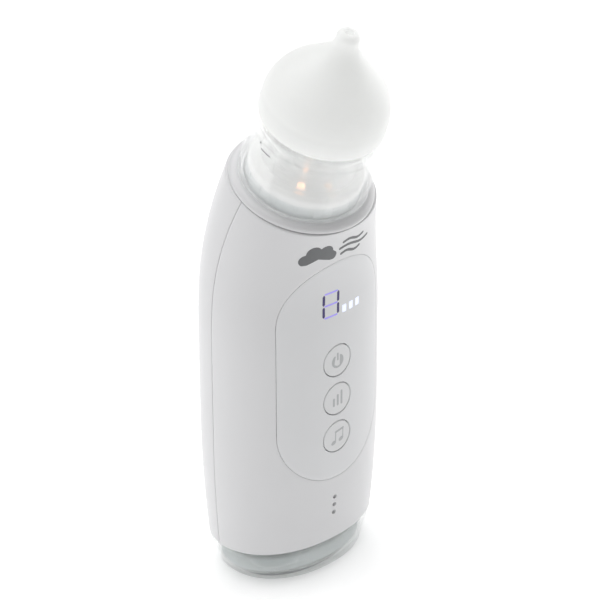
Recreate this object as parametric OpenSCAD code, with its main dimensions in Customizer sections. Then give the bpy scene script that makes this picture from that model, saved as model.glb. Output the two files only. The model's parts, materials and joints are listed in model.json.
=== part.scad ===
// Handheld nasal aspirator for babies.
// An oval handle bends forward into a round collar. A clear collection cup
// plugs onto the collar's neck, and a soft silicone tip caps the cup.
// Inside are a board with display and switches, a diaphragm pump, a battery,
// a speaker and a charging socket. A clear foot with a light ring closes it.
// Millimetres, +Z up, the controls face -Y, origin on the table under the foot.

/* [Handle] */
// Widest width of the handle, side to side
body_w = 52; // [50:0.5:54]
// Depth of the handle, front to back, and diameter of the collar
body_d = 39.2; // [38.4:0.2:40]
// Height of the joint between the handle and the clear foot
seam_z = 10.6; // [10:0.1:12]
// Height at which the handle starts to bend forward
bend_z = 85; // [84:0.5:88]
// Radius of the forward bend, at the handle's centre line
bend_r = 90; // [86:1:96]
// Lean of the head
tilt = 20; // [18:0.5:21]
// Wall of the two shells
wall = 1.8; // [1.6:0.1:2]

/* [Controls] */
// Half-width of the stadium-shaped control panel
panel_r = 17.7; // [17:0.1:18]
// Height of the panel's lowest point
panel_z0 = 31.4; // [31:0.1:33]
// Height of the panel's highest point
panel_z1 = 99; // [97:0.5:100]
// Radius of a button cap
button_r = 4.65; // [4.2:0.05:4.8]
// Height of the lowest button
button_z = 44.4; // [44:0.1:46]
// Distance from one button to the next
button_pitch = 11.8; // [11.4:0.1:12]

/* [Head] */
// Outer radius of the clear cup's skirt
cup_r = 17.5; // [17.3:0.1:17.5]
// Height of the cup's flange above the collar's joint
cup_top = 23; // [22.5:0.5:24]
// Outer radius of the cup's inner chamber
chamber_r = 12.7; // [12.5:0.1:13]
// Wall of the silicone tip
tip_wall = 1.8; // [1.5:0.1:2]

/* [Charging port] */
// Height of the charging port on the back
port_z = 22; // [21.5:0.5:23]

/* [Hidden] */
$fn = 48;
eps = 0.01;
half_w = body_w / 2;
half_d = body_d / 2;
collar_r = half_d;
// shape of the handle's cross-section: 2 is an ellipse, more is squarer
squareness = 2.15;
// the handle narrows towards the foot, over these heights above the joint
foot_w = 24.55;
foot_d = 17.3;
foot_taper_w = 34;
foot_taper_d = 45;
// and towards the collar, above this height over the joint
neck_taper = 64;
// distances along the handle's centre line
straight = bend_z - seam_z;
spine = straight + bend_r * tilt * PI / 180;
// side line where the front and rear shells meet, behind the centre line
part_y = 1.2;
seam_gap = 0.12;
// centre of the collar joint
head_y = -bend_r * (1 - cos(tilt));
head_z = bend_z + bend_r * sin(tilt);

// inside parts
board_y = -12.6;
board_t = 1.2;
plate_y = board_y + board_t + 0.8;
plate_t = 1.4;
pump_y = 3;
pump_r = 12;
motor_z = 56;
motor_h = 26;
pump_z = motor_z + motor_h;
nipple_y = -1.5;
crank_offset = 2.2;
screw_ring = 10.4;
port_depth = 17;
sound_hole_z = 19.6;
lamp_ring = 9.5;
lamp_angles = [-140, -95];

// ---------- helpers ----------

// quadratic ease from 0 at t = 0 to 1 at t = 1, flat where it starts
function ease(t) = t <= 0 ? 0 : t * t;

// half-width and half-depth of the handle, s along its centre line
function width_at(s) = half_w
    - (half_w - foot_w) * ease(1 - s / foot_taper_w)
    - (half_w - collar_r) * ease((s - neck_taper) / (spine - neck_taper));
function depth_at(s) = half_d - (half_d - foot_d) * ease(1 - s / foot_taper_d);

// lean of the section, and its centre
function lean_at(s) = s < straight ? 0 : (s - straight) / bend_r * 180 / PI;
function centre_at(s) = s < straight
    ? [0, 0, seam_z + s]
    : [0, -bend_r * (1 - cos(lean_at(s))), bend_z + bend_r * sin(lean_at(s))];

// signed power, for the cross-section's curve
function spow(v, p) = sign(v) * pow(abs(v), p);
function oval_point(a, b, t) =
    [a * spow(cos(t), 2 / squareness), b * spow(sin(t), 2 / squareness)];
// angle at which an oval of half-depth b reaches the shells' joint
function part_angle(b, v) = asin(pow(v / b, squareness / 2));

// a point of the handle: s along it, t round it, sunk below the surface
function body_point(s, t, sink) = let (
        p = oval_point(width_at(s) - sink, depth_at(s) - sink, t),
        lean = lean_at(s),
        c = centre_at(s)
    ) [p[0], c[1] + p[1] * cos(lean), c[2] + p[1] * sin(lean)];

// a point on the handle's front at x and height z, sunk below the surface
function front_depth(x, s, sink) = let (a = width_at(s) - sink, b = depth_at(s) - sink)
    -b * pow(1 - pow(abs(x) / a, squareness), 1 / squareness);
function front_on_section(x, s, sink) = let (v = front_depth(x, s, sink), c = centre_at(s))
    [x, c[1] + v * cos(lean_at(s)), c[2] + v * sin(lean_at(s))];
// walks along the centre line until the point's height is z
function section_for(x, z, s, turns) = turns == 0 ? s
    : section_for(x, z, s + z - front_on_section(x, s, 0)[2], turns - 1);
function front_point(x, z, sink) = front_on_section(x, section_for(x, z, z - seam_z, 5), sink);

// a C-shaped section of the handle's wall from angle t0 to t1
function wall_section(s, t0, t1, n, outer, inner) = concat(
    [for (i = [0:n]) body_point(s, t0 + (t1 - t0) * i / n, outer)],
    [for (i = [n:-1:0]) body_point(s, t0 + (t1 - t0) * i / n, inner)]
);

// joins rings of equal, even length into one closed skin; each end is closed by a
// ladder of triangles between the ring's first half and its second half
module loft(rings) {
    n = len(rings[0]);
    last = len(rings) - 1;
    points = [for (ring = rings) each ring];
    sides = [
        for (k = [0:last - 1]) for (i = [0:n - 1]) let (
            a = k * n + i,
            b = k * n + (i + 1) % n
        ) each [[a, b, b + n], [a, b + n, a + n]]
    ];
    bottom = [
        for (i = [0:n / 2 - 2]) each [[n - 1 - i, i + 1, i], [n - 1 - i, n - 2 - i, i + 1]]
    ];
    top = [for (face = bottom) [for (i = [2:-1:0]) last * n + face[i]]];
    polyhedron(points = points, faces = concat(sides, bottom, top), convexity = 6);
}

module oval(a, b, n = 64) {
    polygon([for (i = [0:n - 1]) oval_point(a, b, 360 * i / n)]);
}

// oval plate from z0 to z1
module oval_plate(a, b, z0, z1) {
    translate([0, 0, z0]) linear_extrude(z1 - z0) oval(a, b);
}

// drill along Y from y0 to y1
module along_y(x, z, r, y0, y1) {
    translate([x, y0, z]) rotate([-90, 0, 0]) cylinder(r = r, h = y1 - y0);
}

// outline in X and Z, extruded from y0 to y1
module facing_front(y0, y1) {
    translate([0, y1, 0]) rotate([90, 0, 0]) linear_extrude(y1 - y0) children();
}

module stadium(r, z0, z1) {
    translate([0, z0 + r]) circle(r = r, $fn = 96);
    translate([0, z1 - r]) circle(r = r, $fn = 96);
    translate([-r, z0 + r]) square([2 * r, z1 - z0 - 2 * r]);
}

module rounded_slot(w, h) {
    for (side = [-1, 1]) translate([side * (w - h) / 2, 0]) circle(r = h / 2);
    square([w - h, h], center = true);
}

// puts children in the head's frame: Z along the leaning head, 0 at the collar joint
module on_head() {
    translate([0, head_y, head_z]) rotate([tilt, 0, 0]) children();
}

// upright tube
module ring(r_out, r_in, z0, z1) {
    translate([0, 0, z0]) difference() {
        cylinder(r = r_out, h = z1 - z0);
        translate([0, 0, -eps]) cylinder(r = r_in, h = z1 - z0 + 2 * eps);
    }
}

// the three buttons' heights, top to bottom: power, level, music
function button_height(k) = button_z + (2 - k) * button_pitch;

// ---------- shells ----------

shell_steps = 22;
shell_sides = 30;

module half_shell(t0_front) {
    rings = [
        for (k = [0:shell_steps]) let (
            s = seam_gap + (spine - 2 * seam_gap) * k / shell_steps,
            b = depth_at(s),
            turn = part_angle(b, part_y - (t0_front ? seam_gap : 0)),
            t0 = t0_front ? 180 - turn : turn,
            t1 = t0_front ? 360 + turn : 180 - turn
        ) wall_section(s, t0, t1, shell_sides, 0, wall)
    ];
    loft(rings);
}

module front_shell() {
    color("whitesmoke") difference() {
        half_shell(true);
        facing_front(-40, -6) stadium(panel_r, panel_z0, panel_z1);
        for (k = [0:2]) along_y(0, sound_hole_z + 2.55 * k, 0.6, -25, -10);
    }
}

module rear_shell() {
    color("white") difference() {
        half_shell(false);
        translate([-7.4, port_depth, port_z - 4.9]) cube([14.8, 8, 9.8]);
        translate([0, 0, port_z]) facing_front(12, 20) rounded_slot(11.4, 5.2);
    }
}

// ---------- control panel ----------

// half-width of a stadium of radius r at height z
function stadium_half(r, z0, z1, z) = let (d = max(z0 + r - z, z - z1 + r, 0))
    sqrt(max(r * r - d * d, 0));

panel_gap = 0.2;
panel_t = 1.6;

// plate that follows the handle's front, with the panel's stadium outline
module panel_skin() {
    r = panel_r - panel_gap;
    z0 = panel_z0 + panel_gap;
    z1 = panel_z1 - panel_gap;
    end_turns = [for (i = [0:7]) 5 + 85 * i / 7];
    heights = concat(
        [for (a = end_turns) z0 + r - r * cos(a)],
        [for (i = [1:9]) z0 + r + (z1 - z0 - 2 * r) * i / 10],
        [for (i = [7:-1:0]) z1 - r + r * cos(end_turns[i])]
    );
    across = 16;
    loft([
        for (z = heights) let (w = stadium_half(r, z0, z1, z)) concat(
            [for (i = [0:across]) front_point(w * (2 * i / across - 1), z, 0)],
            [for (i = [across:-1:0]) front_point(w * (2 * i / across - 1), z, panel_t)]
        )
    ]);
}

// one stroke of a figure, pointed at both ends
module stroke(length, st) {
    tip = st / 2;
    polygon([[0, 0], [tip, -tip], [length - tip, -tip], [length, 0], [length - tip, tip], [tip, tip]]);
}

// seven-segment figure, w wide and h tall, strokes st thick
module segment_figure(w, h, st) {
    gap = 0.12;
    across = w - st;
    up = (h - st) / 2;
    translate([st / 2, st / 2]) {
        for (k = [0:2]) translate([gap, k * up]) stroke(across - 2 * gap, st);
        for (x = [0, across], k = [0:1])
            translate([x, k * up + gap]) rotate(90) stroke(up - 2 * gap, st);
    }
}

// outlines of everything that lights up behind the panel
module display_outline() {
    translate([-5.2, 81.9]) segment_figure(5.6, 7.6, 0.85);
    for (k = [0:2]) translate([1.4 + 2.5 * k, 81.9]) square([1.7, 2.4]);
}

module control_panel() {
    color("gainsboro") difference() {
        panel_skin();
        for (k = [0:2]) along_y(0, button_height(k), button_r + 0.2, -25, -10);
        facing_front(-25, -15) display_outline();
    }
}

module display_windows() {
    color("lavender") intersection() {
        panel_skin();
        facing_front(-25, -15) display_outline();
    }
}

// ---------- buttons ----------

module button(k) {
    translate([0, 0, button_height(k)]) rotate([90, 0, 0]) rotate_extrude() polygon([
        [0, 15.1],
        [1.5, 15.1],
        [1.5, 16.5],
        [5.3, 16.5],
        [5.3, 17.1],
        [button_r, 17.1],
        [button_r, half_d - 0.35],
        for (i = [0:6]) [
            (button_r - 0.3) * cos(90 * i / 6) + 0.3 * (1 - i / 6),
            half_d - 0.35 + 0.3 * sin(90 * i / 6)
        ]
    ]);
}

module plunger(k) {
    along_y(0, button_height(k), 1.3, -15.1, board_y - 0.45);
}

module power_button() {
    color("silver") button(0);
}

module level_button() {
    color("silver") button(1);
}

module music_button() {
    color("silver") button(2);
}

module power_plunger() {
    color("dimgray") plunger(0);
}

module level_plunger() {
    color("dimgray") plunger(1);
}

module music_plunger() {
    color("dimgray") plunger(2);
}

module tact_switches() {
    color("dimgray") for (k = [0:2]) difference() {
        translate([-2.6, board_y - 1.7, button_height(k) - 2.6]) cube([5.2, 1.7 - eps, 5.2]);
        along_y(0, button_height(k), 1.4, board_y - 2, board_y - 0.03);
    }
}

module display_module() {
    color("black") difference() {
        translate([-8, board_y - 4.2, 80]) cube([16, 4.2 - eps, 10.6]);
        facing_front(board_y - 5, board_y - 1) display_outline();
    }
}

// ---------- board and frame ----------

board_holes = [[-12.5, 38], [12.5, 38], [-12.5, 94], [12.5, 94]];

module main_board() {
    color("seagreen") difference() {
        translate([-15, board_y, 34]) cube([30, board_t, 64]);
        for (h = board_holes) along_y(h[0], h[1], 1.1, board_y - 1, board_y + 3);
    }
}

module board_screws() {
    color("gainsboro") for (h = board_holes) {
        along_y(h[0], h[1], 1, board_y, board_y + 4);
        along_y(h[0], h[1], 1.9, board_y - 1.2, board_y);
    }
}

module chassis() {
    wall_x = 13.4;
    color("lightgray") difference() {
        union() {
            translate([-15, plate_y, 13]) cube([30, plate_t, 86]);
            for (side = [-1, 1]) {
                translate([side * (wall_x + 0.7) - 0.7, plate_y, 13]) cube([1.4, 18, 86]);
                translate([side * 17.5, 0, 12.6]) cylinder(r = 2.8, h = 10);
                translate([side * 15.4 - 1.4, -1, 13]) cube([2.8, 2, 9]);
            }
            for (h = board_holes) along_y(h[0], h[1], 2.2, board_y + board_t + eps, plate_y + plate_t);
            // cross bars behind the battery and the shelf under the motor
            for (z = [30, 47]) translate([-14, 2, z]) cube([28, 1.2, 3]);
            translate([-14, plate_y, 54.4 - 1.2]) cube([28, 20, 1.2]);
        }
        for (h = board_holes) along_y(h[0], h[1], 1, board_y, board_y + 4.2);
        for (side = [-1, 1]) translate([side * 17.5, 0, 12]) cylinder(r = 1.1, h = 8);
        translate([0, pump_y, 50]) cylinder(r = 4, h = 6);
        // slots for the motor's terminals
        for (side = [-1, 1]) translate([side * 8 - 1.3, pump_y - 0.7, 53]) cube([2.6, 1.4, 2]);
    }
}

module battery() {
    color("steelblue") translate([-12.5, -8.6, 14]) {
        difference() {
            cube([25, 10, 39]);
            // the pouch's thinner sealed top, with the protection board on it
            translate([-1, -1, 37.2]) cube([27, 3.5, 3]);
            translate([-1, 7.5, 37.2]) cube([27, 3.5, 3]);
        }
    }
}

module speaker() {
    color("dimgray") translate([0, -10.8, 23]) rotate([90, 0, 0]) rotate_extrude() polygon([
        [0, 0],
        [6, 0],
        [6, 1.6],
        [9.4, 1.6],
        [9.4, 3.6],
        [8.2, 3.6],
        [7, 3],
        [4, 3.3],
        [0, 2.6]
    ]);
}

module speaker_mesh() {
    color("darkgray") difference() {
        along_y(0, 22.6, 4.6, -15.4, -15);
        for (x = [-3:1.5:3], z = [-3:1.5:3])
            along_y(x, 22.6 + z, 0.4, -16, -14);
    }
}

// ---------- motor and pump ----------

module at_pump(z) {
    translate([0, pump_y, z]) children();
}

module motor_can() {
    color("silver") at_pump(motor_z) difference() {
        cylinder(r = pump_r, h = motor_h - 0.1);
        translate([0, 0, -eps]) cylinder(r = pump_r - 0.8, h = motor_h - 1);
        cylinder(r = 1.05, h = 40);
    }
}

module motor_cap() {
    color("ivory") at_pump(motor_z - 1.4) difference() {
        union() {
            cylinder(r = pump_r, h = 1.4 - eps);
            cylinder(r = pump_r - 0.9, h = 2.4);
            for (side = [-1, 1]) translate([side * 8 - 1, -0.4, -2]) cube([2, 0.8, 2.5]);
        }
        translate([0, 0, -1]) cylinder(r = 1.05, h = 5);
    }
}

module motor_magnets() {
    color("darkslategray") at_pump(motor_z + 5) intersection() {
        ring(pump_r - 0.85, 10, 0, 16);
        for (side = [-1, 1]) translate([side * 10 - 5, -9, -1]) cube([10, 18, 20]);
    }
}

module motor_rotor() {
    color("darkorange") at_pump(0) {
        translate([0, 0, motor_z - 1]) cylinder(r = 1, h = motor_h + 3);
        translate([0, 0, motor_z + 1.6]) cylinder(r = 3, h = 3);
        difference() {
            translate([0, 0, motor_z + 5]) cylinder(r = 9.6, h = 15);
            // winding slots between the three poles
            for (k = [0:2]) rotate(120 * k) translate([7.4, 0, motor_z + 4]) cylinder(r = 2.8, h = 18);
        }
        translate([0, 0, pump_z + 1.4]) cylinder(r = 4, h = 2);
        translate([crank_offset, 0, pump_z + 3]) cylinder(r = 0.8, h = 3);
    }
}

// the pump's three long screws
module at_pump_screws() {
    for (k = [0:2]) rotate(60 + 120 * k) translate([screw_ring, 0, 0]) children();
}

module pump_base() {
    color("gray") at_pump(pump_z) difference() {
        cylinder(r = pump_r, h = 8);
        translate([0, 0, 1]) cylinder(r = 8.9, h = 8);
        translate([0, 0, -1]) cylinder(r = 1.6, h = 4);
        at_pump_screws() translate([0, 0, -1]) cylinder(r = 1.05, h = 10);
    }
}

module wobble_plate() {
    color("tan") at_pump(pump_z) {
        ring(4.6, crank_offset + 1.1, 4.2, 6.4);
        translate([0, 0, 6.4]) cylinder(r = 8.4, h = 1.1);
    }
}

module pump_diaphragm() {
    color("black") at_pump(pump_z) difference() {
        union() {
            translate([0, 0, 8 + eps]) cylinder(r = pump_r, h = 1.2);
            for (k = [0:2]) rotate(120 * k) translate([5, 0, 7.55]) cylinder(r = 2.8, h = 1);
        }
        for (k = [0:2]) rotate(120 * k) translate([5, 0, 8.2]) cylinder(r = 2.2, h = 2);
        at_pump_screws() translate([0, 0, 7]) cylinder(r = 1.05, h = 4);
    }
}

module pump_head() {
    color("gray") at_pump(pump_z) difference() {
        union() {
            translate([0, 0, 9.25]) cylinder(r = pump_r, h = 6);
            translate([0, 0, 15]) cylinder(r = 8, h = 1);
            translate([0, nipple_y - pump_y, 15]) cylinder(r = 1.9, h = 5.5);
            translate([4.5, 3, 15]) cylinder(r = 1.9, h = 4);
        }
        for (k = [0:2]) rotate(120 * k) translate([5, 0, 9]) cylinder(r = 2.2, h = 2.5);
        translate([0, nipple_y - pump_y, 10]) cylinder(r = 1.2, h = 12);
        translate([4.5, 3, 10]) cylinder(r = 1.2, h = 10);
        at_pump_screws() translate([0, 0, 9]) cylinder(r = 1.05, h = 8);
    }
}

module pump_screws() {
    color("gainsboro") at_pump(pump_z) at_pump_screws() {
        translate([0, 0, 1.2]) cylinder(r = 1, h = 14.2);
        translate([0, 0, 15.26]) cylinder(r = 1.9, h = 1.3);
    }
}

module exhaust_muffler() {
    color("khaki") at_pump(pump_z) translate([4.5, 3, 0]) ring(3.6, 1.95, 16.3, 21);
}

// short hose that curves from the pump's inlet forward into the neck
module suction_hose() {
    corner = (head_y - nipple_y) / sin(tilt);
    reach = head_z + corner * cos(tilt) - (pump_z + 16.3);
    sweep_r = reach / tan(tilt / 2);
    color("white") translate([0, nipple_y - sweep_r, pump_z + 16.3]) rotate([90, 0, 90])
        rotate_extrude(angle = tilt) translate([sweep_r, 0]) difference() {
            circle(r = 3.5);
            circle(r = 2.3);
        }
}

// ---------- head ----------

module collar() {
    color("white") on_head() rotate_extrude($fn = 96) polygon([
        [15.7, 1.7],
        [15.7, -1.4],
        [16.4, -1.4],
        [16.4, -4],
        [collar_r - wall - 0.15, -4],
        [collar_r - wall - 0.15, 0.1],
        [collar_r - 0.1, 0.1],
        for (i = [0:8]) [
            collar_r - 2 + 1.9 * cos(90 * i / 8),
            0.3 + 1.4 * sin(90 * i / 8)
        ]
    ]);
}

module neck() {
    color("slategray") on_head() {
        difference() {
            rotate_extrude($fn = 96) polygon([
                [1.2, -9],
                [1.9, -9],
                [1.9, -3.8],
                [4, -3.8],
                [4, 5.6],
                [13.8, 5.6],
                [13.8, -3],
                [16.2, -3],
                [16.2, -1.5],
                [15.4, -1.5],
                [15.4, 6.6],
                [14.9, 7.1],
                [4, 7.1],
                [4, 9.6],
                [3.3, 9.6],
                [3.3, 10.8],
                [4, 10.8],
                [4, 12],
                [1.2, 12]
            ]);
            for (a = lamp_angles) rotate(a) translate([lamp_ring, 0, 4]) cylinder(r = 1.6, h = 5);
        }
        // grip ribs that centre the cup's skirt
        for (k = [0:17]) rotate(20 * k) translate([15.2, -0.35, 2.2]) cube([0.5, 0.7, 3.8]);
    }
}

module lamp_board() {
    color("seagreen") on_head() ring(13, 4.6, 4, 5);
}

module neck_lamps() {
    color("orange") on_head() for (a = lamp_angles) rotate(a) translate([lamp_ring, 0, 5 + eps])
        rotate_extrude() polygon(concat(
            [[0, 0], [1.5, 0]],
            [for (i = [0:6]) [1.5 * cos(15 * i), 1.1 + 1.5 * sin(15 * i)]]
        ));
}

module neck_seal() {
    color("darkgray") on_head() translate([0, 0, 10.2]) rotate_extrude()
        translate([3.77, 0]) circle(r = 0.46);
}

// chamber with its floor, the tube that the air comes up, and the flange over the skirt
module cup() {
    chamber_in = chamber_r - 1.3;
    color("aliceblue", 0.5) on_head() rotate_extrude($fn = 96) polygon([
        [cup_r - 1.6, 20.4],
        [cup_r - 0.35, 20.4],
        [cup_r - 0.35, cup_top - 0.5],
        [cup_r - 0.85, cup_top],
        [chamber_r, cup_top],
        [chamber_r, cup_top + 5.2],
        [chamber_r - 0.4, cup_top + 5.6],
        [chamber_in + 0.4, cup_top + 5.6],
        [chamber_in, cup_top + 5.2],
        [chamber_in, 10.4],
        [chamber_in - 1.2, 9.4],
        [5.6, 9.4],
        [5.6, 13],
        [4.3, 13],
        [4.3, 7.9],
        [chamber_r - 0.6, 7.9],
        [chamber_r, 8.5],
        [chamber_r, 20.4]
    ]);
}

// sleeve welded under the flange, which slides down over the neck
module cup_skirt() {
    top = 20.4 - eps;
    color("aliceblue", 0.5) on_head() rotate_extrude($fn = 96) polygon([
        [cup_r - 1.6, 2.1],
        [cup_r - 0.3, 2.1],
        [cup_r, 2.4],
        [cup_r, 19.2],
        [cup_r - 0.35, 19.6],
        [cup_r - 0.35, top],
        [cup_r - 1.6, top]
    ]);
}

module splash_guard() {
    color("aliceblue", 0.6) on_head() difference() {
        union() {
            translate([0, 0, 13 + eps]) cylinder(r = 5.4, h = 1);
            translate([0, 0, 13.5]) cylinder(r = 4, h = 8);
            translate([0, 0, 21.4]) cylinder(r1 = 7, r2 = 5.6, h = 1.6);
        }
        translate([0, 0, 12]) cylinder(r = 2.8, h = 9.4);
        for (a = [0, 90]) rotate(a) translate([-5, -1.2, 17.6]) cube([10, 2.4, 3]);
    }
}

// silicone tip: a straight skirt, a dome that turns into a cone, and a short nozzle
tip_z0 = cup_top + 0.12;
dome_z0 = 27;
dome_r = 16.8;
dome_h = 14;
dome_end = 38;
cone_top = [6.2, 43];
nozzle_r = 2.8;
nozzle_root = 48.2;
nozzle_top = 50.9;
tip_bore = 1.3;

function dome(inset, t) = [(dome_r - inset) * cos(t), dome_z0 + (dome_h - inset) * sin(t)];
// curve from a to c that leaves and arrives towards b
function bend(a, b, c, t) = a * (1 - t) * (1 - t) + b * 2 * t * (1 - t) + c * t * t;

module tip() {
    steps = 8;
    color("mintcream", 0.9) on_head() rotate_extrude($fn = 72) polygon(concat(
        [[chamber_r + 0.12, tip_z0], [dome_r - 0.5, tip_z0], [dome_r, tip_z0 + 0.6]],
        [for (i = [0:steps]) dome(0, dome_end * i / steps)],
        [for (i = [0:steps]) bend(cone_top, [nozzle_r, 46.6], [nozzle_r, nozzle_root], i / steps)],
        [for (i = [0:4]) [
            nozzle_r - 1 + cos(90 * i / 4),
            nozzle_top - 1 + sin(90 * i / 4)
        ]],
        [[tip_bore, nozzle_top], [tip_bore, 46]],
        [for (i = [steps:-1:0]) bend([4.4, 41.2], [tip_bore, 44.4], [tip_bore, 45.8], i / steps)],
        [for (i = [steps:-1:0]) dome(tip_wall, dome_end * i / steps)],
        [[dome_r - tip_wall, tip_z0 + 2.6], [chamber_r + 0.12, tip_z0 + 2]]
    ));
}

// ---------- charging port ----------

module usb_board() {
    color("seagreen") translate([-8, 4.4, port_z - 2.8]) cube([16, 10, 1]);
}

module usb_socket() {
    color("silver") translate([0, 0, port_z]) {
        difference() {
            facing_front(8.2, 15.3) rounded_slot(8.94, 3.2);
            facing_front(9.2, 16) rounded_slot(8.34, 2.56);
        }
        translate([-3.1, 9, -0.35]) cube([6.2, 5.6, 0.7]);
    }
}

// soft cover on a strip hinge along its lower edge
module usb_cover() {
    color("whitesmoke") translate([0, 0, port_z]) {
        facing_front(port_depth + 0.15, port_depth + 1.5) {
            translate([0, 0.15]) square([12, 8.6], center = true);
            translate([-7, -2.1]) square([14, 4.4]);
            for (x = [-6, 6], z = [-2.15, 2.45]) translate([x, z]) circle(r = 1);
        }
        facing_front(port_depth - 1.4, port_depth + 0.3) rounded_slot(9.6, 3.6);
    }
}

// ---------- foot ----------

module base_plate() {
    color("white") difference() {
        oval_plate(foot_w - wall - 0.15, foot_d - wall - 0.15, 9.9, 12.5);
        for (side = [-1, 1]) translate([side * 17.5, 0, 8]) {
            cylinder(r = 1.15, h = 6);
            cylinder(r = 2.3, h = 3);
        }
    }
}

module base_screws() {
    color("gainsboro") for (side = [-1, 1]) translate([side * 17.5, 0, 0]) {
        translate([0, 0, 10.9]) cylinder(r = 1.05, h = 8);
        translate([0, 0, 9.6]) cylinder(r = 2.1, h = 1.35);
    }
}

module base_lights() {
    color("seagreen") oval_plate(19, 12.6, 8.4, 9.4);
    color("lightyellow") for (k = [0:7]) {
        p = oval_point(16.6, 10.4, 22.5 + 45 * k);
        translate([p[0] - 1.2, p[1] - 1.2, 7.6]) cube([2.4, 2.4, 0.9]);
    }
}

module base_band() {
    color("slategray") difference() {
        oval_plate(21, 14.7, 3.2, 9.8);
        oval_plate(19.6, 13.3, 3, 10);
    }
}

// clear foot: a cup whose rings are [half-width, half-depth, height]
module base_cap() {
    rim = seam_z - 0.12;
    outer = [
        for (i = [0:4]) [
            20.5 + 2 * sin(90 * i / 4),
            15.9 + 1.1 * sin(90 * i / 4),
            0.8 + 2.4 * (1 - cos(90 * i / 4))
        ],
        [foot_w - 0.6, foot_d - 0.1, 7],
        [foot_w - 0.1, foot_d, rim]
    ];
    inner = [
        [foot_w - 1.7, foot_d - 1.6, rim],
        [22.3, 15.5, 6],
        [21.2, 15.2, 2.9],
        [20.3, 14.6, 2.4]
    ];
    color("aliceblue", 0.5) loft([
        for (p = concat(outer, inner)) [
            for (i = [0:63]) let (q = oval_point(p[0], p[1], 360 * i / 64)) [q[0], q[1], p[2]]
        ]
    ]);
}

module foot_pad() {
    color("gray") oval_plate(18, 12.6, 0, 0.79);
}

front_shell();
rear_shell();
control_panel();
display_windows();
power_button();
level_button();
music_button();
power_plunger();
level_plunger();
music_plunger();
tact_switches();
display_module();
main_board();
board_screws();
chassis();
battery();
speaker();
speaker_mesh();
motor_can();
motor_cap();
motor_magnets();
motor_rotor();
pump_base();
wobble_plate();
pump_diaphragm();
pump_head();
pump_screws();
exhaust_muffler();
suction_hose();
collar();
neck();
lamp_board();
neck_lamps();
neck_seal();
cup();
cup_skirt();
splash_guard();
tip();
usb_board();
usb_socket();
usb_cover();
base_plate();
base_screws();
base_lights();
base_band();
base_cap();
foot_pad();
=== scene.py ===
"""Looks of a handheld nasal aspirator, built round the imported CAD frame.

The outer parts are meshed again from the same formulas at high resolution, with
soft edges and fine gaps; the parts inside keep their CAD meshes. Lengths in the
shape section are millimetres; MM turns them into the frame's metres.
"""
import json
from math import asin, atan2, cos, pi, radians, sin, sqrt

import bmesh
import bpy
from mathutils import Matrix, Vector


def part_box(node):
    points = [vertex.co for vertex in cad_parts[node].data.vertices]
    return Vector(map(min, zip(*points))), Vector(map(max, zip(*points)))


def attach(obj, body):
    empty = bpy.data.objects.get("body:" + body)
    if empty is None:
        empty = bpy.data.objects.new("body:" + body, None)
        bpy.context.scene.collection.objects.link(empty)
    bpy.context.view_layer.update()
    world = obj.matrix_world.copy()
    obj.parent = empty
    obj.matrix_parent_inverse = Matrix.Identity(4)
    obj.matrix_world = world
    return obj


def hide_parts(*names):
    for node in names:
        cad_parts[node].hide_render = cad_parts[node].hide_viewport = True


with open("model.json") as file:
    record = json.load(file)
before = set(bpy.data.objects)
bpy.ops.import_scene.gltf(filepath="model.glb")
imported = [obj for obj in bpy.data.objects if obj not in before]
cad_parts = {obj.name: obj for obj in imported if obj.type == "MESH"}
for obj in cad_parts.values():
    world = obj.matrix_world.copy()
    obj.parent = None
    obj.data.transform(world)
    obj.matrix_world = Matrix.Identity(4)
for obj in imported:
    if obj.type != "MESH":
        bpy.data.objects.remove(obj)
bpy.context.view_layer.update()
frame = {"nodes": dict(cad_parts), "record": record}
MM = 0.001

# ---------------------------------------------------------------- driving dimensions, in millimetres

# handle: an oval that stands on the foot, then bends forward along an arc
HALF_W = 26.0
HALF_D = 19.6
SEAM_Z = 10.6
BEND_Z = 85.0
BEND_R = 90.0
TILT = radians(20)
SQUARENESS = 2.15
FOOT_W = 24.55
FOOT_D = 17.3
FOOT_TAPER_W = 34.0
FOOT_TAPER_D = 45.0
NECK_TAPER = 64.0
STRAIGHT = BEND_Z - SEAM_Z
SPINE = STRAIGHT + BEND_R * TILT

# shells: wall, joint plane, gap at their ends and the soft edge beside a joint
WALL = 1.8
PART_Y = 1.2
SEAM_GAP = 0.12
EDGE = 0.14
SOUND_HOLE_Z = [19.6 + 2.55 * k for k in range(3)]

# control panel and its buttons
PANEL_R = 17.7
PANEL_Z0 = 31.4
PANEL_Z1 = 99.0
PANEL_GAP = 0.06
PANEL_EDGE = 0.1
PANEL_T = 1.6
STADIUM_STRAIGHT = 36
STADIUM_CAP = 64
BUTTON_R = 4.65
BUTTON_Z = [68.0, 56.2, 44.4]
BUTTON_SINK = 0.06
BUTTON_GAP = 0.2
FIGURE_Z = 81.9
PRINT_SINK = -0.012
PRINT_T = 0.1

# head, measured from its axis and along it from the collar's joint
CUP_R = 17.5
CUP_WALL = 1.6
CUP_TOP = 23.0
CHAMBER_R = 12.7
CHAMBER_WALL = 1.3
CHAMBER_RIM = CUP_TOP + 5.6

# ---------------------------------------------------------------- handle's surface

def ease(t):
    return max(t, 0.0) ** 2


def width_at(s):
    """Half-width of the section at s along the centre line."""
    top = (s - NECK_TAPER) / (SPINE - NECK_TAPER)
    return HALF_W - (HALF_W - FOOT_W) * ease(1 - s / FOOT_TAPER_W) - (HALF_W - HALF_D) * ease(top)


def depth_at(s):
    return HALF_D - (HALF_D - FOOT_D) * ease(1 - s / FOOT_TAPER_D)


def lean_at(s):
    return max(s - STRAIGHT, 0.0) / BEND_R


def centre_at(s):
    if s < STRAIGHT:
        return 0.0, SEAM_Z + s
    lean = lean_at(s)
    return -BEND_R * (1 - cos(lean)), BEND_Z + BEND_R * sin(lean)


def signed_power(v, p):
    return (abs(v) ** p) * (1 if v >= 0 else -1)


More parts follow.
